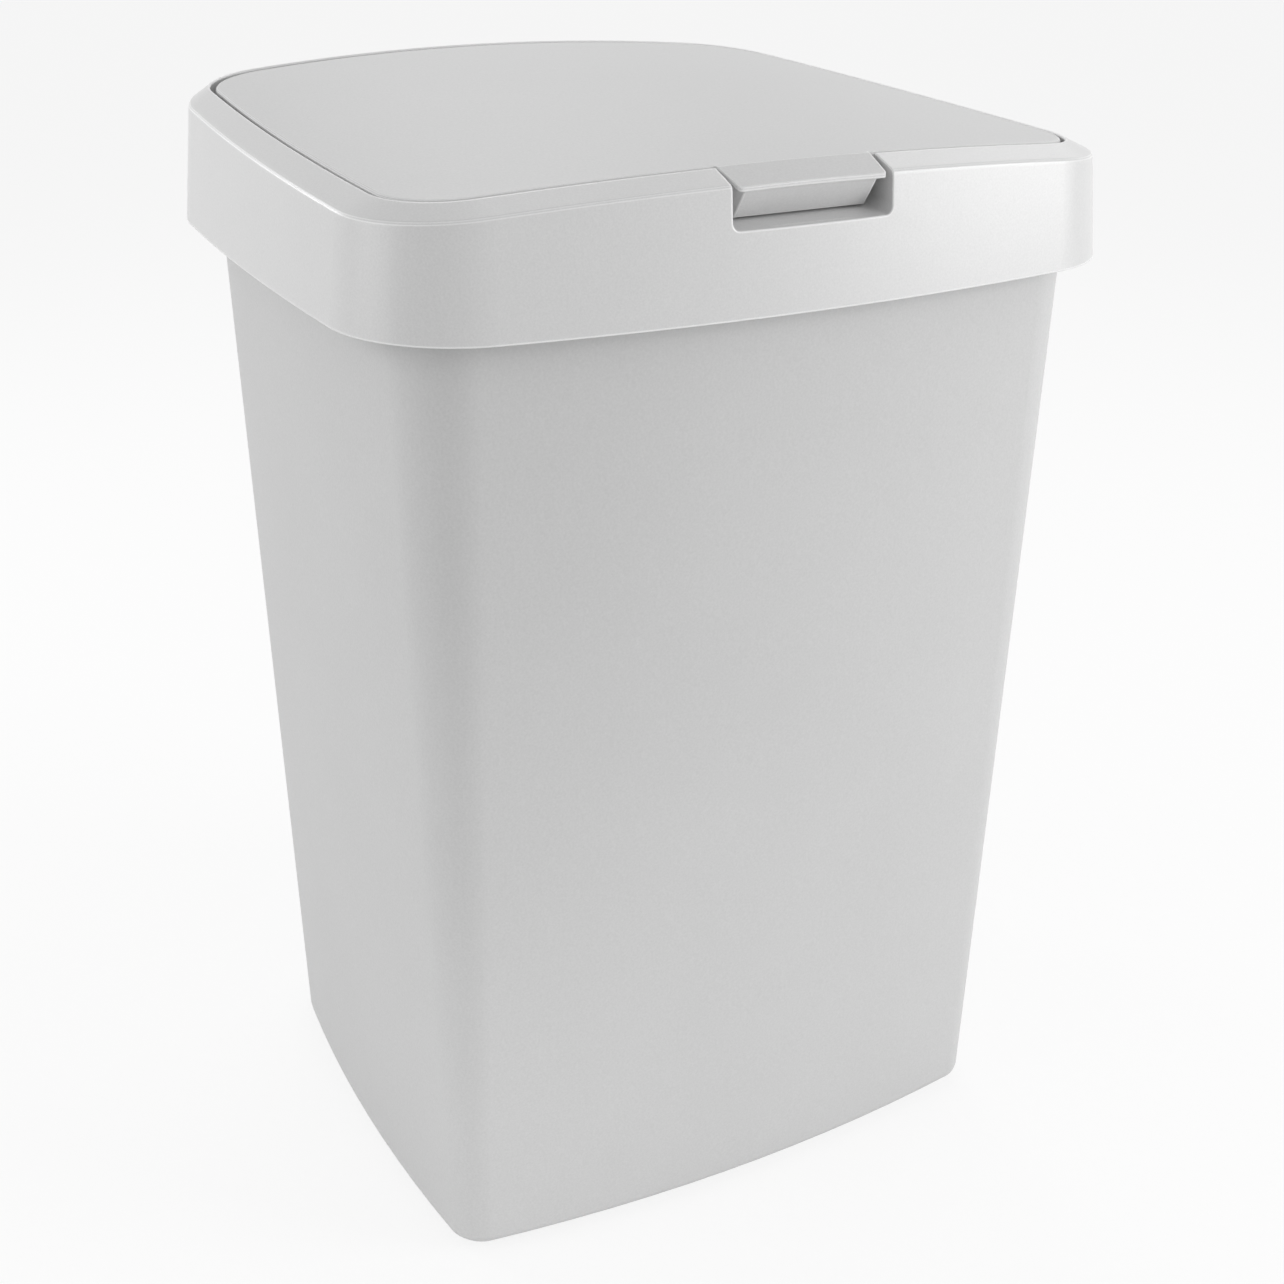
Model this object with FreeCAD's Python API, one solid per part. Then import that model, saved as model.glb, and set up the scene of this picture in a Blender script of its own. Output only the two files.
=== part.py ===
import FreeCAD, Part
import math
import os

# Kitchen bin with a lift-up lid, in millimetres. The front faces -Y, and z = 0 is the floor.
# Three plastic mouldings: a tapered bucket, a deep collar over its rim, and an arched lid on two pins.

# An outline seen from above has four shallow arcs and four rounded corners. A bow is the angle through
# which an arc turns between its flattest point and the corner: front, back, side to front, side to back.
COLLAR_BOWS_DEG = (8.1, 6.6, 0.3, 6.4)
BUCKET_BOWS_DEG = (8.75, 6.2, 3.8, 8.6)

# Bucket, with a low foot ring set in from its rounded lower edge.
BUCKET_HEIGHT = 509.0
BUCKET_HALF_WIDTH = 181.5
BUCKET_HALF_DEPTH = 164.5
BUCKET_FRONT_CORNER = 36.0
BUCKET_BACK_CORNER = 60.0
BUCKET_WALL = 2.2
SIDE_TAPER = 17.8
END_TAPER = 11.2
BASE_FRONT_CORNER = 19.0
BASE_BACK_CORNER = 65.0
BASE_ROUND = 6.0
BASE_ROUND_STEPS = 3
CORNER_FLATS = 11
FOOT_HEIGHT = 4.0
FOOT_STEP = 3.0
FOOT_WALL = 5.0
FLOOR_THICKNESS = 2.6
FLANGE_WIDTH = 5.5
FLANGE_LIP = 12.0

# Collar outline at its upper edge, as a reach beyond the bucket's rim.
COLLAR_SIDE_REACH = 11.5
COLLAR_END_REACH = 10.0
COLLAR_FRONT_CORNER = 53.5
COLLAR_BACK_CORNER = 68.0

# The whole top is arched from side to side and rises a little to the back.
CROWN_RADIUS = 1790.0
CROWN_RISE_DEG = 1.79
CROWN_ABOVE_BUCKET = 42.5
CROWN_LENGTH = 1200.0

# Collar section.
WALL = 2.4
SKIRT_OVERLAP = 24.5
SKIRT_FLARE = 5.0
RIM_DROP = 4.7
RIM_WIDTH = 14.5
RIM_ROUND = 2.5
RIM_ROUND_STEPS = 3
RIM_INNER_BEVEL = 0.6
LEDGE_DEPTH = 10.0
LEDGE_WIDTH = 10.5
SEAT_CLEARANCE = 1.5
SPIGOT_DEPTH = 15.0
SPIGOT_PLAY = 1.0
SPIGOT_WALL = 3.0
REAR_TROUGH = 3.0
LEDGE_CUT_INSET = 30.0
LEDGE_CUT_SKIN = 0.01
SEAT_GAP = 0.05

# Lid.
LID_FRONT_CORNER = 35.0
LID_BACK_CORNER = 38.0
LID_GAP = 2.0
LID_WALL = 2.4
LID_EDGE = 9.6
LID_EDGE_ROUND = 1.6
LID_ROUND_STEPS = 3
LID_REAR_OPEN_INSET = 58.5

# Finger tab on the lid and its pocket in the collar.
NOTCH_HALF_WIDTH = 41.3
NOTCH_DEPTH = 19.25
NOTCH_FLOOR_RISE_DEG = 10.0
NOTCH_ROUND = 3.8
POCKET_WALL = 2.2
POCKET_DEPTH = 22.5
TAB_SIDE_GAP = 1.4
TAB_TAPER = 2.2
TAB_SETBACK = 0.5
TAB_SLOPE_DEG = 21.0
TAB_LIP = 2.0
TAB_CORNER = 2.0
WEDGE_HALF_WIDTH = 33.8
WEDGE_FLARE = 0.3
WEDGE_BACK = 11.0
WEDGE_GAP = 1.2
WEDGE_WALL = 2.2

# Rear hinge.
HINGE_SETBACK = 10.0
HINGE_DROP = 9.0
HINGE_INSET = 116.5
PIN_RADIUS = 2.0
PIN_PRESS = 0.03
PIN_PLAY = 0.05
KNUCKLE_WIDTH = 6.0
KNUCKLE_RADIUS = 4.0
EAR_WIDTH = 6.0
EAR_GAP = 0.5
EAR_HEIGHT = 30.0
EAR_STEP = 16.0

CURVE_POINTS = 7
HALF_TURN_DEG = 180.0
QUARTER = 0.5 * math.pi
OVERSHOOT = 60.0


class Outline:
    """A closed plan outline of eight tangent arcs: front, back, two sides and four corners."""

    def __init__(self, half_width, front, back, front_corner, back_corner, bows_deg):
        self.half_width = half_width
        self.front = front
        self.back = back
        self.front_corner = front_corner
        self.back_corner = back_corner
        self.bows_deg = bows_deg

    def grown(self, amount, back_extra=0.0):
        """The parallel outline, that far outward, with the back edge moved further if asked."""
        return Outline(self.half_width + amount, self.front + amount, self.back + amount + back_extra,
                       self.front_corner + amount, self.back_corner + amount, self.bows_deg)

    def halfway(self, other):
        """The outline midway to another one that has the same bows."""
        return Outline(0.5 * (self.half_width + other.half_width), 0.5 * (self.front + other.front),
                       0.5 * (self.back + other.back), 0.5 * (self.front_corner + other.front_corner),
                       0.5 * (self.back_corner + other.back_corner), self.bows_deg)

    def side_radius(self):
        """Radius of the side arcs, for which the front and the back corners ask for the same arc."""
        front_bow, back_bow, to_front, to_back = [math.radians(bow) for bow in self.bows_deg]
        lean_front = math.tan(0.5 * front_bow)
        lean_back = math.tan(0.5 * back_bow)
        per_front = math.sin(to_front) - lean_front * (1.0 - math.cos(to_front))
        per_back = math.sin(to_back) - lean_back * (1.0 - math.cos(to_back))
        reach_front = self.front - self.front_corner - lean_front * (self.half_width - self.front_corner)
        reach_back = self.back - self.back_corner - lean_back * (self.half_width - self.back_corner)
        length = reach_front + reach_back + per_front * self.front_corner + per_back * self.back_corner
        return length / (per_front + per_back)

    def arcs(self):
        """The eight arcs, anticlockwise from the left end of the front one."""
        front_bow, back_bow, to_front, to_back = [math.radians(bow) for bow in self.bows_deg]
        side_radius = self.side_radius()
        front_x = self.half_width - self.front_corner - (side_radius - self.front_corner) * (1.0 - math.cos(to_front))
        front_y = self.front_corner - self.front + front_x * math.tan(0.5 * front_bow)
        back_x = self.half_width - self.back_corner - (side_radius - self.back_corner) * (1.0 - math.cos(to_back))
        back_y = self.back - self.back_corner - back_x * math.tan(0.5 * back_bow)
        front_radius = self.front_corner + front_x / math.sin(front_bow)
        back_radius = self.back_corner + back_x / math.sin(back_bow)
        side_y = front_y + (side_radius - self.front_corner) * math.sin(to_front)
        right = [Arc(front_x, front_y, self.front_corner, front_bow - QUARTER, -to_front),
                 Arc(self.half_width - side_radius, side_y, side_radius, -to_front, to_back),
                 Arc(back_x, back_y, self.back_corner, to_back, QUARTER - back_bow)]
        front = Arc(0.0, front_radius - self.front, front_radius, -QUARTER - front_bow, -QUARTER + front_bow)
        back = Arc(0.0, self.back - back_radius, back_radius, QUARTER - back_bow, QUARTER + back_bow)
        return [front] + right + [back] + [arc.mirrored() for arc in reversed(right)]

    def back_at(self, x):
        """How far back the outline reaches at an x on its back arc."""
        arcs = self.arcs()
        back = arcs[len(arcs) // 2]
        return back.y + math.sqrt(back.radius ** 2 - x ** 2)


class Arc:
    """One arc of an outline, anticlockwise from its start angle to its end angle."""

    def __init__(self, x, y, radius, start, end):
        self.x = x
        self.y = y
        self.radius = radius
        self.start = start
        self.end = end

    def mirrored(self):
        return Arc(-self.x, self.y, self.radius, math.pi - self.end, math.pi - self.start)

    def point(self, share):
        angle = self.start + share * (self.end - self.start)
        return (self.x + self.radius * math.cos(angle), self.y + self.radius * math.sin(angle))

    def edge(self, height):
        """The arc as an edge, at one height or at a height worked out from x and y."""
        shares = [i / (CURVE_POINTS - 1.0) for i in range(CURVE_POINTS)]
        places = [self.point(share) for share in shares]
        if not callable(height):
            ends = [FreeCAD.Vector(places[i][0], places[i][1], height)
                    for i in (0, CURVE_POINTS // 2, CURVE_POINTS - 1)]
            return Part.Arc(*ends).toShape()
        curve = Part.BSplineCurve()
        curve.interpolate([FreeCAD.Vector(x, y, height(x, y)) for x, y in places])
        return curve.toShape()


def edges(outline, height):
    return [arc.edge(height) for arc in outline.arcs()]


def wire(outline, z):
    return Part.Wire(edges(outline, z))


def ring(profile):
    """Solid ring whose section is a closed loop of (outline, height) corners."""
    rows = [(edges(outline, height), height) for outline, height in profile]
    faces = []
    for (row, height), (following, next_height) in zip(rows, rows[1:] + rows[:1]):
        faces += band(row, height, following, next_height)
    return closed(faces)


def band(row, height, following, next_height):
    """Faces between two rows of edges: one flat ring where both are level at the same height."""
    if height == next_height:
        return Part.makeFace([Part.Wire(row), Part.Wire(following)], "Part::FaceMakerBullseye").Faces
    return [strip(a, b) for a, b in zip(row, following)]


def closed(faces):
    """Solid inside faces that meet edge to edge."""
    shell = Part.makeShell(faces)
    shell.sewShape()
    solid = Part.makeSolid(shell)
    if solid.Volume < 0.0:
        solid.reverse()
    return solid


def flat_cornered(outline, z):
    """Edges of an outline at one height, with each corner made of narrow flats."""
    row = []
    for i, arc in enumerate(outline.arcs()):
        if i % 2:
            places = [arc.point(step / float(CORNER_FLATS)) for step in range(CORNER_FLATS + 1)]
            corners = [FreeCAD.Vector(x, y, z) for x, y in places]
            row += [Part.makeLine(start, end) for start, end in zip(corners, corners[1:])]
        else:
            row.append(arc.edge(z))
    return row


def strip(low, high):
    """Face between two edges: flat where both are straight."""
    if len(low.Vertexes) == 2 and low.Curve.TypeId == high.Curve.TypeId == "Part::GeomLine":
        corners = [low.Vertexes[0].Point, low.Vertexes[1].Point, high.Vertexes[1].Point, high.Vertexes[0].Point]
        return Part.Face(Part.makePolygon(corners + corners[:1]))
    return Part.makeRuledSurface(low, high)


def stack(sections):
    """Solid bounded by strips from each flat outline to the next and by flat ends on the first and last."""
    rows = [(flat_cornered(outline, z), z) for outline, z in sections]
    faces = [Part.Face(Part.Wire(rows[0][0])), Part.Face(Part.Wire(rows[-1][0]))]
    for (row, z), (following, next_z) in zip(rows, rows[1:]):
        faces += band(row, z, following, next_z)
    return closed(faces)


def prism(outline, low, high):
    return Part.Face(wire(outline, low)).extrude(FreeCAD.Vector(0.0, 0.0, high - low))


def block(x_low, x_high, y_low, y_high, z_low, z_high):
    corner = FreeCAD.Vector(x_low, y_low, z_low)
    return Part.makeBox(x_high - x_low, y_high - y_low, z_high - z_low, corner)


def side_profile(points, x_low, x_high):
    """Solid with a (y, z) polygon as its side view, from one x to another."""
    corners = [FreeCAD.Vector(x_low, y, z) for y, z in points]
    face = Part.Face(Part.makePolygon(corners + corners[:1]))
    return face.extrude(FreeCAD.Vector(x_high - x_low, 0.0, 0.0))


def rod(radius, x_low, x_high):
    """Round bar along the hinge axis."""
    start = FreeCAD.Vector(x_low, HINGE_Y, HINGE_Z)
    return Part.makeCylinder(radius, x_high - x_low, start, FreeCAD.Vector(1.0, 0.0, 0.0))


def crown(drop):
    """Height of the arched top, lowered by a drop, as a rule of x and y."""
    rise = math.radians(CROWN_RISE_DEG)

    def height(x, y):
        arch = math.sqrt(CROWN_RADIUS * CROWN_RADIUS - x * x) - CROWN_RADIUS
        return CROWN_Z - drop + (arch + y * math.sin(rise)) / math.cos(rise)

    return height


def under_arch(middle_z, rise_deg):
    """Everything below an arched surface that rises to the back, its seam turned to the underside."""
    rise = math.radians(rise_deg)
    along = FreeCAD.Vector(0.0, math.cos(rise), math.sin(rise))
    middle = FreeCAD.Vector(0.0, 0.0, middle_z - CROWN_RADIUS / math.cos(rise))
    bar = Part.makeCylinder(CROWN_RADIUS, CROWN_LENGTH, middle - along * (0.5 * CROWN_LENGTH), along)
    return bar.rotate(middle, along, HALF_TURN_DEG)


def under_crown(drop):
    """Everything below the arched top, lowered by a drop."""
    return under_arch(CROWN_Z - drop, CROWN_RISE_DEG)


BUCKET_TOP_Z = BUCKET_HEIGHT
SKIRT_Z = BUCKET_TOP_Z - SKIRT_OVERLAP
CROWN_Z = BUCKET_TOP_Z + CROWN_ABOVE_BUCKET
SPIGOT_Z = BUCKET_TOP_Z - SPIGOT_DEPTH
BODY_Z = FOOT_HEIGHT + BASE_ROUND
SEAT_Z = BUCKET_TOP_Z + SEAT_GAP

COLLAR_HALF_WIDTH = BUCKET_HALF_WIDTH + COLLAR_SIDE_REACH
COLLAR_HALF_DEPTH = BUCKET_HALF_DEPTH + COLLAR_END_REACH
BASE_HALF_WIDTH = BUCKET_HALF_WIDTH - SIDE_TAPER
BASE_HALF_DEPTH = BUCKET_HALF_DEPTH - END_TAPER
COLLAR = Outline(COLLAR_HALF_WIDTH, COLLAR_HALF_DEPTH, COLLAR_HALF_DEPTH, COLLAR_FRONT_CORNER, COLLAR_BACK_CORNER,
                 COLLAR_BOWS_DEG)
LID = Outline(COLLAR_HALF_WIDTH - RIM_WIDTH - LID_GAP, COLLAR_HALF_DEPTH - RIM_WIDTH - LID_GAP,
              COLLAR_HALF_DEPTH - RIM_WIDTH - LID_GAP, LID_FRONT_CORNER, LID_BACK_CORNER, COLLAR_BOWS_DEG)
MOUTH = LID.grown(LID_GAP, REAR_TROUGH)
BUCKET_TOP = Outline(BUCKET_HALF_WIDTH, BUCKET_HALF_DEPTH, BUCKET_HALF_DEPTH, BUCKET_FRONT_CORNER,
                     BUCKET_BACK_CORNER, BUCKET_BOWS_DEG)
BASE = Outline(BASE_HALF_WIDTH, BASE_HALF_DEPTH, BASE_HALF_DEPTH, BASE_FRONT_CORNER, BASE_BACK_CORNER,
               BUCKET_BOWS_DEG)
SPIGOT = BUCKET_TOP.grown(-BUCKET_WALL - SPIGOT_PLAY)

TAB_LIP_Y = -COLLAR_HALF_DEPTH + TAB_SETBACK
HINGE_X = LID.half_width - HINGE_INSET
HINGE_Y = LID.back - HINGE_SETBACK
HINGE_Z = crown(HINGE_DROP)(0.0, HINGE_Y)
NOTCH_FLOOR_Z = crown(RIM_DROP)(0.0, -COLLAR_HALF_DEPTH) - NOTCH_DEPTH


def base_round():
    """Outlines of the rounded lower edge, from the underside up to the wall."""
    sections = []
    for i in range(BASE_ROUND_STEPS + 1):
        angle = 0.5 * math.pi * i / BASE_ROUND_STEPS
        inward = BASE_ROUND * (1.0 - math.sin(angle))
        sections.append((BASE.grown(-inward), BODY_Z - BASE_ROUND * math.cos(angle)))
    return sections


def make_bin_body():
    """One wall that runs from the recess under the floor, over the foot, up, over the rim and down inside."""
    foot = BASE.grown(-BASE_ROUND - FOOT_STEP)
    recess = foot.grown(-FOOT_WALL)
    flange = BUCKET_TOP.grown(FLANGE_WIDTH)
    lip_inside = flange.grown(-BUCKET_WALL)
    flange_under_z = BUCKET_TOP_Z - BUCKET_WALL
    lip_z = BUCKET_TOP_Z - FLANGE_LIP
    floor_z = FOOT_HEIGHT + FLOOR_THICKNESS
    inner_low_z = floor_z + BASE_ROUND
    waist = BASE.halfway(BUCKET_TOP)
    sections = [(recess, FOOT_HEIGHT), (recess, 0.0), (foot, 0.0), (foot, FOOT_HEIGHT)]
    sections += base_round()
    sections += [(waist, 0.5 * (BODY_Z + flange_under_z)),
                 (BUCKET_TOP, flange_under_z), (lip_inside, flange_under_z), (lip_inside, lip_z), (flange, lip_z),
                 (flange, BUCKET_TOP_Z), (BUCKET_TOP.grown(-BUCKET_WALL), BUCKET_TOP_Z),
                 (waist.grown(-BUCKET_WALL), 0.5 * (inner_low_z + BUCKET_TOP_Z)),
                 (BASE.grown(-BUCKET_WALL), inner_low_z),
                 (BASE.grown(-BUCKET_WALL - BASE_ROUND), floor_z)]
    return stack(sections)


def rim_edge():
    """Rounded outer edge of the collar's rim, from its wall up on to its slope."""
    slope = math.atan2(RIM_DROP, RIM_WIDTH)
    reach = RIM_ROUND * math.tan(0.25 * math.pi - 0.5 * slope)
    corners = []
    for i in range(RIM_ROUND_STEPS + 1):
        angle = math.pi - (0.5 * math.pi - slope) * i / RIM_ROUND_STEPS
        inward = RIM_ROUND + RIM_ROUND * math.cos(angle)
        lowered = RIM_DROP + reach - RIM_ROUND * math.sin(angle)
        corners.append((COLLAR.grown(-inward), crown(lowered)))
    return corners


def collar_hull():
    """The collar as if the space under its rim were filled."""
    ledge_edge = MOUTH.grown(-LEDGE_WIDTH)
    spigot_inside = SPIGOT.grown(-SPIGOT_WALL)
    filling = SPIGOT.grown(BUCKET_WALL)
    profile = [(COLLAR.grown(SKIRT_FLARE), SKIRT_Z)]
    profile += rim_edge()
    profile += [(MOUTH.grown(RIM_INNER_BEVEL), crown(0.0)),
                (MOUTH, crown(RIM_INNER_BEVEL)),
                (MOUTH, crown(LEDGE_DEPTH)),
                (ledge_edge, crown(LEDGE_DEPTH)),
                (ledge_edge, crown(LEDGE_DEPTH + WALL)),
                (MOUTH, crown(LEDGE_DEPTH + WALL)),
                (spigot_inside, SEAT_Z),
                (spigot_inside, SPIGOT_Z),
                (filling, SPIGOT_Z),
                (filling, SKIRT_Z)]
    return ring(profile)


def collar_hollow():
    """The space under the rim, between the skirt and the inner walls, open below."""
    slope = RIM_DROP / RIM_WIDTH
    below = SKIRT_Z - OVERSHOOT
    seat_top = SEAT_Z + WALL
    seat_edge = COLLAR.grown(-WALL - SEAT_CLEARANCE)
    inner_wall = MOUTH.grown(WALL)
    flare_below = SKIRT_FLARE * (CROWN_Z - below) / (CROWN_Z - SKIRT_Z)
    return ring([(COLLAR.grown(flare_below - WALL), below),
                 (COLLAR.grown(-WALL), crown(RIM_DROP + WALL * (1.0 - slope))),
                 (inner_wall, crown(WALL * (1.0 + slope))),
                 (inner_wall, seat_top),
                 (seat_edge, seat_top),
                 (seat_edge, SEAT_Z),
                 (SPIGOT, SEAT_Z),
                 (SPIGOT, below)])


def pocket_floor_z(y):
    return NOTCH_FLOOR_Z + (y + COLLAR_HALF_DEPTH) * math.tan(math.radians(NOTCH_FLOOR_RISE_DEG))


def pocket_space():
    """Room for fingers and tab: through the front of the collar, with rounded lower corners."""
    front = -COLLAR_HALF_DEPTH - OVERSHOOT
    back = -COLLAR_HALF_DEPTH + POCKET_DEPTH
    top = CROWN_Z + OVERSHOOT
    space = side_profile([(front, pocket_floor_z(front)), (back, pocket_floor_z(back)), (back, top), (front, top)],
                         -NOTCH_HALF_WIDTH, NOTCH_HALF_WIDTH)
    floor_edges = [edge for edge in space.Edges
                   if abs(abs(edge.CenterOfMass.x) - NOTCH_HALF_WIDTH) < POCKET_WALL
                   and abs(edge.CenterOfMass.z - pocket_floor_z(edge.CenterOfMass.y)) < POCKET_WALL]
    return space.makeFillet(NOTCH_ROUND, floor_edges)


def pocket_block(top_drop):
    """Outside of the pocket's walls, up to the arched top lowered by a drop."""
    half = NOTCH_HALF_WIDTH + POCKET_WALL
    front = -COLLAR_HALF_DEPTH + 0.5 * WALL
    back = -COLLAR_HALF_DEPTH + POCKET_DEPTH + POCKET_WALL
    top = CROWN_Z + OVERSHOOT
    shape = side_profile([(front, pocket_floor_z(front) - POCKET_WALL), (back, pocket_floor_z(back) - POCKET_WALL),
                          (back, top), (front, top)], -half, half)
    return shape.common(under_crown(top_drop))


def knuckle_corners(direction):
    """Half of an octagon around the hinge axis, on its upper or lower side, from the back to the front."""
    short = KNUCKLE_RADIUS * math.tan(0.25 * QUARTER)
    return [(HINGE_Y + KNUCKLE_RADIUS, HINGE_Z + direction * short),
            (HINGE_Y + short, HINGE_Z + direction * KNUCKLE_RADIUS),
            (HINGE_Y - short, HINGE_Z + direction * KNUCKLE_RADIUS),
            (HINGE_Y - KNUCKLE_RADIUS, HINGE_Z + direction * short)]


def hinge_ear(x_middle):
    """Plate that rises from the collar's back wall to one side of the hinge axis, before its bore."""
    wall_y = MOUTH.back_at(x_middle) + 0.5 * WALL
    foot_z = HINGE_Z - EAR_STEP
    corners = [(wall_y, HINGE_Z - EAR_HEIGHT), (wall_y, foot_z), (HINGE_Y + KNUCKLE_RADIUS, foot_z)]
    corners += knuckle_corners(1.0) + [(HINGE_Y - KNUCKLE_RADIUS, foot_z)]
    return side_profile(corners, x_middle - 0.5 * EAR_WIDTH, x_middle + 0.5 * EAR_WIDTH)


def hinge_sides():
    """Direction of each hinge from the middle of the lid: left, then right."""
    return (-1.0, 1.0)


def ear_x():
    """How far from the middle each ear's own middle is, on the outer side of its knuckle."""
    return HINGE_X + 0.5 * KNUCKLE_WIDTH + EAR_GAP + 0.5 * EAR_WIDTH


def pin_space(radius, side):
    """Round bar along the hinge axis, through one knuckle and its ear."""
    inner = side * (HINGE_X - 0.5 * KNUCKLE_WIDTH)
    outer = side * (ear_x() + 0.5 * EAR_WIDTH)
    return rod(radius, min(inner, outer), max(inner, outer))


def make_lid_frame():
    frame = collar_hull().fuse(pocket_block(LEDGE_DEPTH + 0.5 * WALL))
    frame = frame.cut(collar_hollow().cut(pocket_block(-OVERSHOOT)))
    frame = frame.cut(pocket_space())
    rear_ledge = prism(MOUTH.grown(-LEDGE_CUT_SKIN), HINGE_Z - EAR_STEP, CROWN_Z + OVERSHOOT)
    rear_half = LID.half_width - LEDGE_CUT_INSET
    rear_room = block(-rear_half, rear_half, HINGE_Y - LEDGE_WIDTH, MOUTH.back + OVERSHOOT, SKIRT_Z,
                      CROWN_Z + OVERSHOOT)
    frame = frame.cut(rear_ledge.common(rear_room))
    frame = frame.fuse([hinge_ear(side * ear_x()) for side in hinge_sides()])
    return frame.cut([pin_space(PIN_RADIUS - PIN_PRESS, side) for side in hinge_sides()]).removeSplitter()


def lid_edge_trim():
    """What rounding takes off the lid's upper edge: all around it, outside a fan of flats."""
    flats = []
    for i in range(LID_ROUND_STEPS + 1):
        angle = 0.5 * math.pi * i / LID_ROUND_STEPS
        flats.append((LID_EDGE_ROUND * (1.0 - math.cos(angle)), LID_EDGE_ROUND * (1.0 - math.sin(angle))))
    first = [2.0 * a - b for a, b in zip(flats[0], flats[1])]
    last = [2.0 * a - b for a, b in zip(flats[-1], flats[-2])]
    corners = [first] + flats[1:-1] + [last, (last[0], -LID_EDGE), (-LID_EDGE, -LID_EDGE), (-LID_EDGE, first[1])]
    return ring([(LID.grown(-inward), crown(lowered)) for inward, lowered in corners])


def lid_shell():
    """The arched panel with its downturned edge."""
    panel = prism(LID, SKIRT_Z, CROWN_Z + OVERSHOOT).common(under_crown(0.0)).cut(lid_edge_trim())
    inside = prism(LID.grown(-LID_WALL), SKIRT_Z - OVERSHOOT, CROWN_Z + OVERSHOOT).common(under_crown(LID_WALL))
    rear_half = LID.half_width - LID_REAR_OPEN_INSET
    rear_open = block(-rear_half, rear_half, HINGE_Y - LEDGE_WIDTH, LID.back + OVERSHOOT, SKIRT_Z - OVERSHOOT,
                      CROWN_Z + OVERSHOOT).common(under_crown(LID_WALL))
    return panel.cut([inside, under_crown(LID_EDGE), rear_open])


def under_tab(drop):
    """Everything below the tab's top, which falls from the lid's front edge and keeps the lid's arch."""
    middle_z = crown(drop)(0.0, -LID.front) + LID.front * math.tan(math.radians(TAB_SLOPE_DEG))
    return under_arch(middle_z, TAB_SLOPE_DEG)


def tab_lip_z():
    return crown(0.0)(0.0, -LID.front) + (TAB_LIP_Y + LID.front) * math.tan(math.radians(TAB_SLOPE_DEG))


def tab_plate():
    """Finger tab: carries the lid forward over the notch, a little narrower at its lip."""
    root_half = NOTCH_HALF_WIDTH - TAB_SIDE_GAP
    lip_half = root_half - TAB_TAPER
    root_y = -LID.front + 2.0 * LID_WALL
    corners = [FreeCAD.Vector(x, y, SKIRT_Z) for x, y in
               ((-lip_half, TAB_LIP_Y), (lip_half, TAB_LIP_Y), (root_half, root_y), (-root_half, root_y))]
    plan = Part.Face(Part.makePolygon(corners + corners[:1]))
    plan = plan.extrude(FreeCAD.Vector(0.0, 0.0, CROWN_Z + OVERSHOOT - SKIRT_Z))
    corner_edges = [edge for edge in plan.Edges
                    if abs(edge.CenterOfMass.y - TAB_LIP_Y) < TAB_LIP
                    and abs(abs(edge.CenterOfMass.x) - lip_half) < TAB_LIP]
    plan = plan.makeFillet(TAB_CORNER, corner_edges)
    return plan.common(under_tab(0.0)).common(under_crown(0.0)).cut(under_tab(TAB_LIP))


def flared_prism(points, half_width, flare):
    """Solid with a (y, z) polygon as its side view, whose sides flare from the polygon's first edge."""
    (start_y, start_z), (end_y, end_z) = points[0], points[-1]
    length = math.hypot(end_y - start_y, end_z - start_z)
    across = ((start_z - end_z) / length, (end_y - start_y) / length)

    def half(y, z):
        return half_width + flare * ((y - start_y) * across[0] + (z - start_z) * across[1])

    right = [FreeCAD.Vector(half(y, z), y, z) for y, z in points]
    left = [FreeCAD.Vector(-half(y, z), y, z) for y, z in points]
    faces = [Part.Face(Part.makePolygon(loop + loop[:1])) for loop in (left, right)]
    for i in range(len(points)):
        j = (i + 1) % len(points)
        loop = [left[i], left[j], right[j], right[i]]
        faces.append(Part.Face(Part.makePolygon(loop + loop[:1])))
    return closed(faces)


def tab_wedge():
    """Hollow wedge under the tab, which fingers pull against, with cheeks that flare to the back."""
    lip = (TAB_LIP_Y + 0.5 * TAB_LIP, tab_lip_z() - 0.5 * TAB_LIP)
    low_y = -COLLAR_HALF_DEPTH + WEDGE_BACK
    back_y = -LID.front + 0.5 * LID_WALL
    top_z = crown(0.5 * LID_WALL)(0.0, back_y)
    low_z = pocket_floor_z(low_y) + WEDGE_GAP
    back_z = pocket_floor_z(back_y) + WEDGE_GAP
    outside = flared_prism([lip, (back_y, top_z), (back_y, back_z), (low_y, low_z)], WEDGE_HALF_WIDTH, WEDGE_FLARE)
    inner_half = WEDGE_HALF_WIDTH - WEDGE_WALL
    hollow_y = low_y + 1.3 * WEDGE_WALL
    hollow_top_z = top_z - 4.0 * WEDGE_WALL
    hollow_top_y = hollow_y - (hollow_top_z - low_z) * (low_y - lip[0]) / (lip[1] - low_z)
    inside = side_profile([(hollow_top_y, hollow_top_z), (back_y, hollow_top_z),
                           (back_y, back_z - WEDGE_WALL), (hollow_y, low_z - WEDGE_WALL)], -inner_half, inner_half)
    return outside.cut(inside)


def lid_knuckle(x_middle):
    """Lug under the lid that turns on a hinge pin, before its bore."""
    top = CROWN_Z + OVERSHOOT
    corners = [(HINGE_Y + KNUCKLE_RADIUS, top)] + knuckle_corners(-1.0) + [(HINGE_Y - KNUCKLE_RADIUS, top)]
    lug = side_profile(corners, x_middle - 0.5 * KNUCKLE_WIDTH, x_middle + 0.5 * KNUCKLE_WIDTH)
    return lug.common(under_crown(0.5 * LID_WALL))


def make_lid_flap():
    lid = lid_shell().fuse([tab_plate(), tab_wedge()] + [lid_knuckle(side * HINGE_X) for side in hinge_sides()])
    return lid.cut([pin_space(PIN_RADIUS + PIN_PLAY, side) for side in hinge_sides()]).removeSplitter()


def make_hinge_pin(side):
    return pin_space(PIN_RADIUS, side)


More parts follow.
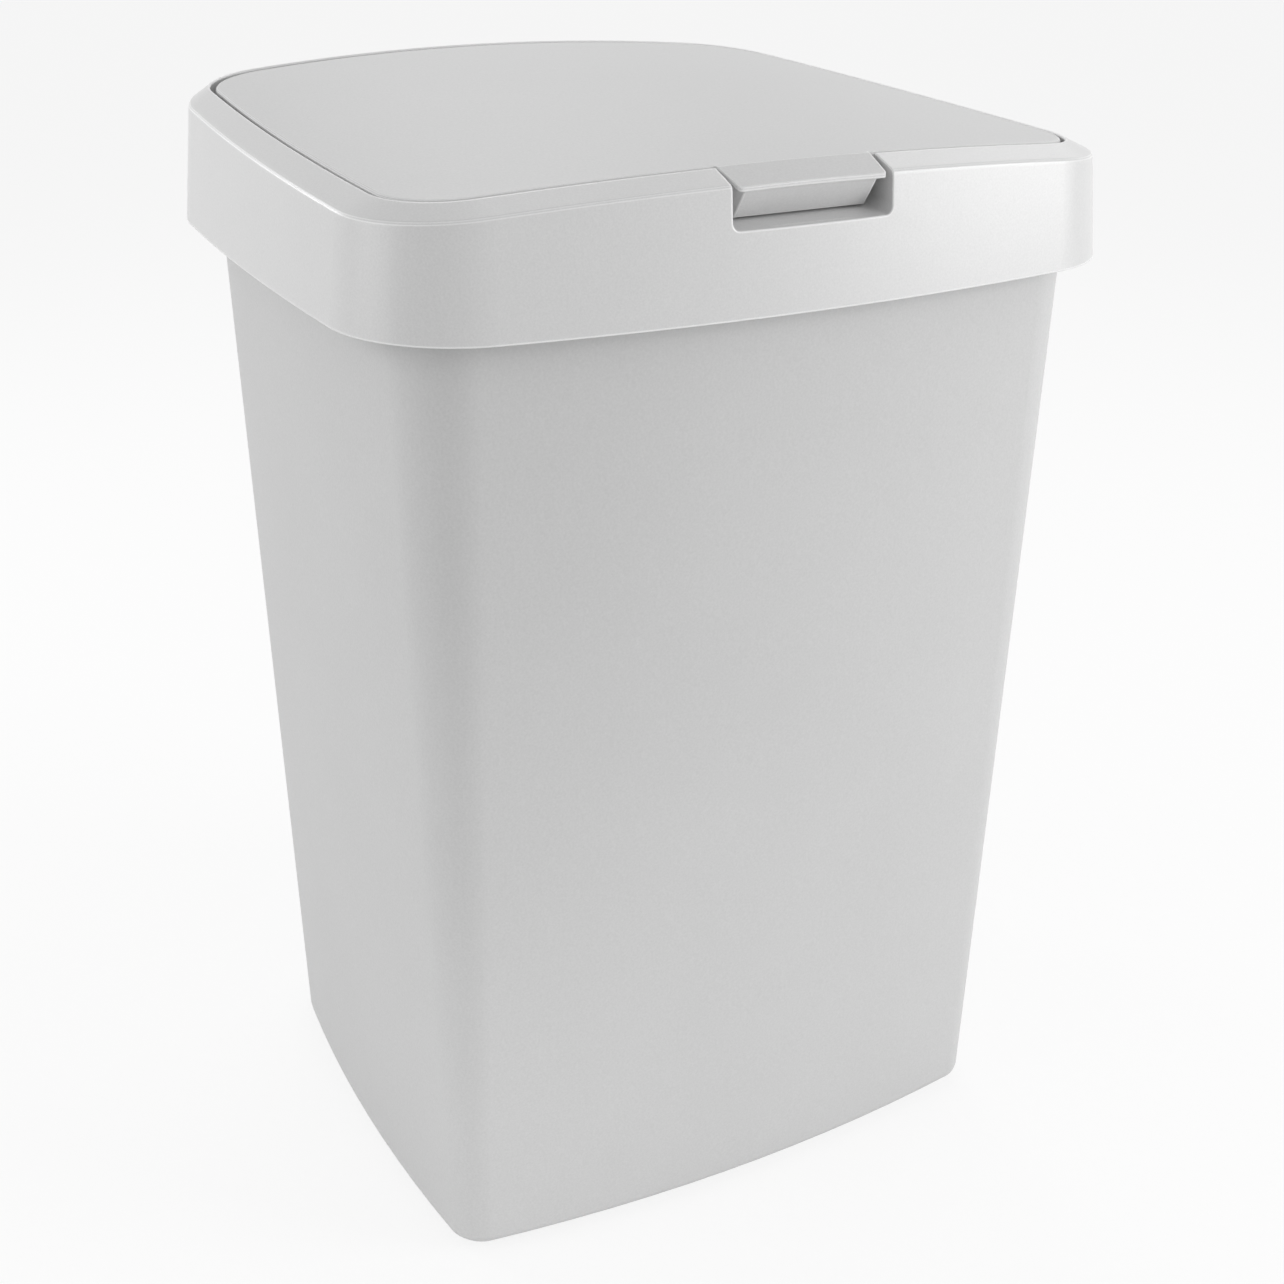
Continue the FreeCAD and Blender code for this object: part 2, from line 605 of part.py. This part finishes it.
def main():
    os.makedirs("parts", exist_ok=True)
    pieces = {
        "bin_body": make_bin_body(),
        "lid_frame": make_lid_frame(),
        "lid_flap": make_lid_flap(),
        "hinge_pin_left": make_hinge_pin(-1.0),
        "hinge_pin_right": make_hinge_pin(1.0),
    }
    for name, shape in pieces.items():
        shape.exportStep("parts/" + name + ".step")
        print(name, "solids", len(shape.Solids), "valid", shape.isValid(), "volume", round(shape.Volume / 1000.0, 1),
              "box", shape.BoundBox)


main()
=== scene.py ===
import math

import bpy
from mathutils import Matrix, Vector

# Kitchen bin with a lift-up lid: finishes, studio light and camera. Lengths are in metres, power in watts.
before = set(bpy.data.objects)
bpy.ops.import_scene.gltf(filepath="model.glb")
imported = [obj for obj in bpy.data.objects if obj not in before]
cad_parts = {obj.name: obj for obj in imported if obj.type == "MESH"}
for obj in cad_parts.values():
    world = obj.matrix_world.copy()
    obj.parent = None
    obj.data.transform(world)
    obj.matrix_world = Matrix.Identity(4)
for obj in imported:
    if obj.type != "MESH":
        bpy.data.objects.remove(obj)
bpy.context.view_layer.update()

# Camera, as fitted to the photograph's outline of the bin.
IMAGE_SIZE = 1284
SENSOR_MM = 36.0
FOCAL_PIXELS = 1991.2
CAMERA_PLACE = (-0.48878, -0.87765, 0.70279)
CAMERA_YAW_DEG = 30.06
CAMERA_PITCH_DEG = 23.92
CAMERA_ROLL_DEG = 0.905

# What all the plastics share: broad clouds and fine grain, and how far tone and gloss swing with them.
CLOUD_SCALE = 9.0
CLOUD_DETAIL = 4.0
CLOUD_ROUGHNESS = 0.55
GRAIN_DETAIL = 2.0
GRAIN_ROUGHNESS = 0.6
GRAIN_STRENGTH = 0.5
GRAIN_SHARE = 0.75
DARKEST_AT = 0.3
PALEST_AT = 0.7
TONE_SWING = 0.05
GLOSS_SWING = 0.03

# Moulded edges: their rounding, and the turn of the normal at which it starts and is complete.
EDGE_ROUND = 0.0015
EDGE_SAMPLES = 8
EDGE_START_DEG = 4.0
EDGE_FULL_DEG = 10.0

# An edge points outward where the space within reach is open. There it gets a painted highlight, that many
# times as pale as the wall.
OPEN_REACH = 0.003
OPEN_SAMPLES = 6
OPEN_START = 0.8
OPEN_FULL = 0.97
PAINTED_HIGHLIGHT_PALER = 1.4

# The sharpest fold that still reads as one smooth surface, and how near points are to be one point.
SMOOTH_FOLD_DEG = 35.0
WELD_DISTANCE = 0.00001

# Studio. The floor's white share is what the camera sees as plain white: the rest keeps the bin's shadow.
WHITE = (1.0, 1.0, 1.0, 1.0)
FLOOR_GREY = 0.93
FLOOR_ROUGHNESS = 0.9
FLOOR_HALF = 20.0
FLOOR_WHITE_SHARE = 0.82
WORLD_STRENGTH = 0.54
OPEN_LAMP_SPREAD_DEG = 180.0


def grey_colour(level):
    return (level, level, level, 1.0)


def set_inputs(node, **values):
    for name, value in values.items():
        node.inputs[name.replace("_", " ")].default_value = value


def feed(links, source, socket):
    """Link a source to an input, or set the input where the source is a plain value."""
    if isinstance(source, bpy.types.NodeSocket):
        links.new(source, socket)
    else:
        socket.default_value = source


def calculated(nodes, links, operation, first, second):
    node = nodes.new("ShaderNodeMath")
    node.operation = operation
    feed(links, first, node.inputs[0])
    feed(links, second, node.inputs[1])
    return node.outputs["Value"]


def mixed(nodes, links, kind, share, first, second):
    """The first value, with a share of the second in its place."""
    node = nodes.new("ShaderNodeMix")
    node.data_type = kind
    feed(links, share, node.inputs["Factor"])
    feed(links, first, node.inputs["A"])
    feed(links, second, node.inputs["B"])
    return node.outputs["Result"]


def remapped(nodes, links, source, **limits):
    """The source's value, moved from one range to another."""
    node = nodes.new("ShaderNodeMapRange")
    set_inputs(node, **limits)
    links.new(source, node.inputs["Value"])
    return node.outputs["Result"]


def noise(nodes, links, place, scale, detail, roughness):
    node = nodes.new("ShaderNodeTexNoise")
    set_inputs(node, Scale=scale, Detail=detail, Roughness=roughness)
    links.new(place, node.inputs["Vector"])
    return node.outputs["Fac"]


def rounded_edges(nodes, links):
    """Normals that roll over the moulding's edges and follow its surface elsewhere, and where the edges are."""
    edge = nodes.new("ShaderNodeBevel")
    edge.samples = EDGE_SAMPLES
    set_inputs(edge, Radius=EDGE_ROUND)
    surface = nodes.new("ShaderNodeNewGeometry")
    likeness = nodes.new("ShaderNodeVectorMath")
    likeness.operation = "DOT_PRODUCT"
    links.new(edge.outputs["Normal"], likeness.inputs[0])
    links.new(surface.outputs["Normal"], likeness.inputs[1])
    start = math.cos(math.radians(EDGE_START_DEG))
    full = math.cos(math.radians(EDGE_FULL_DEG))
    at_edge = remapped(nodes, links, likeness.outputs["Value"], From_Min=start, From_Max=full)
    normal = mixed(nodes, links, "VECTOR", at_edge, surface.outputs["Normal"], edge.outputs["Normal"])
    return normal, at_edge


def painted_highlight_share(nodes, links, at_edge):
    """How much a surface point belongs to an edge that points outward, which is where the painted highlight
    goes.
    """
    space = nodes.new("ShaderNodeAmbientOcclusion")
    space.only_local = True
    space.samples = OPEN_SAMPLES
    set_inputs(space, Distance=OPEN_REACH)
    outward = remapped(nodes, links, space.outputs["AO"], From_Min=OPEN_START, From_Max=OPEN_FULL)
    return calculated(nodes, links, "MULTIPLY", at_edge, outward)


def plastic(name, grey, roughness, ior, grain_size, grain_depth):
    """Satin moulded plastic: fine grain, faint cloudiness, slightly uneven gloss and a painted highlight along
    outward edges.
    """
    material = bpy.data.materials.new(name)
    material.use_nodes = True
    nodes = material.node_tree.nodes
    links = material.node_tree.links
    shader = nodes["Principled BSDF"]
    set_inputs(shader, IOR=ior)
    place = nodes.new("ShaderNodeTexCoord").outputs["Object"]
    cloud = noise(nodes, links, place, CLOUD_SCALE, CLOUD_DETAIL, CLOUD_ROUGHNESS)
    grain = noise(nodes, links, place, 1.0 / grain_size, GRAIN_DETAIL, GRAIN_ROUGHNESS)
    normal, at_edge = rounded_edges(nodes, links)

    tone = nodes.new("ShaderNodeValToRGB")
    darkest, palest = tone.color_ramp.elements
    darkest.position = DARKEST_AT
    darkest.color = grey_colour(grey * (1.0 - TONE_SWING))
    palest.position = PALEST_AT
    palest.color = grey_colour(grey * (1.0 + TONE_SWING))
    links.new(mixed(nodes, links, "FLOAT", GRAIN_SHARE, cloud, grain), tone.inputs["Fac"])
    # Painted highlight: outward edges are coloured paler than the wall, in place of the light they catch.
    outward = painted_highlight_share(nodes, links, at_edge)
    colour = mixed(nodes, links, "RGBA", outward, tone.outputs["Color"], grey_colour(grey * PAINTED_HIGHLIGHT_PALER))
    links.new(colour, shader.inputs["Base Color"])

    gloss = remapped(nodes, links, cloud, To_Min=roughness - GLOSS_SWING, To_Max=roughness + GLOSS_SWING)
    links.new(gloss, shader.inputs["Roughness"])

    bump = nodes.new("ShaderNodeBump")
    set_inputs(bump, Strength=GRAIN_STRENGTH, Distance=grain_depth)
    links.new(grain, bump.inputs["Height"])
    links.new(normal, bump.inputs["Normal"])
    links.new(bump.outputs["Normal"], shader.inputs["Normal"])
    return material


def dress(node, material):
    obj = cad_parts[node]
    obj.data.materials.clear()
    obj.data.materials.append(material)


def smooth_walls(node):
    """Let light roll evenly round the narrow flats of a moulding's corners."""
    tree = bpy.data.node_groups.new("smooth_walls", "GeometryNodeTree")
    tree.interface.new_socket("Geometry", in_out="INPUT", socket_type="NodeSocketGeometry")
    tree.interface.new_socket("Geometry", in_out="OUTPUT", socket_type="NodeSocketGeometry")
    nodes = tree.nodes
    links = tree.links
    start = nodes.new("NodeGroupInput")
    weld = nodes.new("GeometryNodeMergeByDistance")
    set_inputs(weld, Distance=WELD_DISTANCE)
    links.new(start.outputs["Geometry"], weld.inputs["Geometry"])
    fold = nodes.new("GeometryNodeInputMeshEdgeAngle")
    sharp = nodes.new("FunctionNodeCompare")
    sharp.operation = "GREATER_THAN"
    set_inputs(sharp, B=math.radians(SMOOTH_FOLD_DEG))
    links.new(fold.outputs["Unsigned Angle"], sharp.inputs["A"])
    shade = nodes.new("GeometryNodeSetMeshNormal")
    shade.mode = "SHARPNESS"
    links.new(weld.outputs["Geometry"], shade.inputs["Mesh"])
    links.new(sharp.outputs["Result"], shade.inputs["Edge Sharpness"])
    end = nodes.new("NodeGroupOutput")
    links.new(shade.outputs["Mesh"], end.inputs["Geometry"])
    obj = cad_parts[node]
    obj.modifiers.new("smooth_walls", "NODES").node_group = tree
    even = obj.modifiers.new("even_normals", "WEIGHTED_NORMAL")
    even.keep_sharp = True


def seen_directly(nodes, links, share):
    """A share for rays that show the background: from the camera, mirrored or through glass."""
    path = nodes.new("ShaderNodeLightPath").outputs
    shown = calculated(nodes, links, "MAXIMUM", path["Is Camera Ray"], path["Is Glossy Ray"])
    shown = calculated(nodes, links, "MAXIMUM", shown, path["Is Transmission Ray"])
    return calculated(nodes, links, "MULTIPLY", shown, share)


def add_floor():
    bpy.ops.mesh.primitive_plane_add(size=2.0 * FLOOR_HALF)
    floor = bpy.context.object
    floor.name = "studio_floor"
    material = bpy.data.materials.new("pale_floor")
    material.use_nodes = True
    nodes = material.node_tree.nodes
    links = material.node_tree.links
    shader = nodes["Principled BSDF"]
    set_inputs(shader, Roughness=FLOOR_ROUGHNESS, Base_Color=grey_colour(FLOOR_GREY))
    glow = nodes.new("ShaderNodeEmission")
    set_inputs(glow, Color=WHITE, Strength=1.0)
    mix = nodes.new("ShaderNodeMixShader")
    links.new(seen_directly(nodes, links, FLOOR_WHITE_SHARE), mix.inputs["Fac"])
    links.new(shader.outputs["BSDF"], mix.inputs[1])
    links.new(glow.outputs["Emission"], mix.inputs[2])
    links.new(mix.outputs["Shader"], nodes["Material Output"].inputs["Surface"])
    floor.data.materials.append(material)


def add_world():
    world = bpy.data.worlds.new("studio")
    bpy.context.scene.world = world
    world.use_nodes = True
    nodes = world.node_tree.nodes
    links = world.node_tree.links
    shader = nodes["Background"]
    set_inputs(shader, Color=WHITE, Strength=WORLD_STRENGTH)
    backdrop = nodes.new("ShaderNodeBackground")
    set_inputs(backdrop, Color=WHITE, Strength=1.0)
    mix = nodes.new("ShaderNodeMixShader")
    links.new(seen_directly(nodes, links, 1.0), mix.inputs["Fac"])
    links.new(shader.outputs["Background"], mix.inputs[1])
    links.new(backdrop.outputs["Background"], mix.inputs[2])
    links.new(mix.outputs["Shader"], nodes["World Output"].inputs["Surface"])


def add_softbox(name, place, aim, size, power, spread_deg=OPEN_LAMP_SPREAD_DEG):
    lamp = bpy.data.lights.new(name, "AREA")
    lamp.shape = "RECTANGLE"
    lamp.size, lamp.size_y = size
    lamp.energy = power
    lamp.spread = math.radians(spread_deg)
    obj = bpy.data.objects.new(name, lamp)
    bpy.context.collection.objects.link(obj)
    obj.location = place
    obj.rotation_euler = (Vector(aim) - Vector(place)).to_track_quat("-Z", "Y").to_euler()


def add_camera():
    yaw = math.radians(CAMERA_YAW_DEG)
    pitch = math.radians(CAMERA_PITCH_DEG)
    roll = math.radians(CAMERA_ROLL_DEG)
    forward = Vector((math.sin(yaw) * math.cos(pitch), math.cos(yaw) * math.cos(pitch), -math.sin(pitch)))
    level = Vector((math.cos(yaw), -math.sin(yaw), 0.0))
    upright = level.cross(forward)
    right = level * math.cos(roll) + upright * math.sin(roll)
    up = upright * math.cos(roll) - level * math.sin(roll)
    data = bpy.data.cameras.new("photo_camera")
    data.sensor_width = SENSOR_MM
    data.lens = FOCAL_PIXELS * SENSOR_MM / IMAGE_SIZE
    camera = bpy.data.objects.new("photo_camera", data)
    bpy.context.collection.objects.link(camera)
    turn = Matrix((right, up, -forward)).transposed().to_4x4()
    camera.matrix_world = Matrix.Translation(CAMERA_PLACE) @ turn
    bpy.context.scene.camera = camera


body_plastic = plastic("body_plastic", grey=0.59, roughness=0.65, ior=1.43,
                       grain_size=0.0011, grain_depth=0.00006)
frame_plastic = plastic("frame_plastic", grey=0.655, roughness=0.32, ior=1.58,
                        grain_size=0.0009, grain_depth=0.00004)
lid_plastic = plastic("lid_plastic", grey=0.60, roughness=0.45, ior=1.49,
                      grain_size=0.0011, grain_depth=0.00006)
pin_plastic = plastic("pin_plastic", grey=0.45, roughness=0.4, ior=1.49,
                      grain_size=0.0008, grain_depth=0.00003)
dress("bin_body", body_plastic)
dress("lid_frame", frame_plastic)
dress("lid_flap", lid_plastic)
dress("hinge_pin_left", pin_plastic)
dress("hinge_pin_right", pin_plastic)

smooth_walls("bin_body")

add_floor()
add_world()
add_softbox("front_right_softbox", place=(1.4, -1.25, 0.78), aim=(0.0, 0.0, 0.5), size=(0.9, 0.85), power=16.0)
add_softbox("back_right_softbox", place=(1.25, 0.8, 1.5), aim=(0.0, 0.0, 0.5), size=(0.9, 0.9), power=2.8)
add_softbox("back_left_softbox", place=(-0.95, 1.45, 0.9), aim=(-0.1, 0.0, 0.5), size=(0.4, 0.4), power=4.0)
add_softbox("back_top_softbox", place=(0.5, 1.3, 1.75), aim=(0.0, 0.0, 0.5), size=(0.7, 0.7), power=4.5)
add_softbox("left_softbox", place=(-2.0, 0.2, 1.0), aim=(0.0, 0.0, 0.35), size=(1.2, 1.6), power=10.0)
add_softbox("low_front_softbox", place=(-0.42, -0.62, 0.07), aim=(-0.1, -0.1, 0.03), size=(0.35, 0.08),
            power=0.1, spread_deg=75.0)
add_camera()

bpy.context.scene.view_settings.view_transform = "Standard"
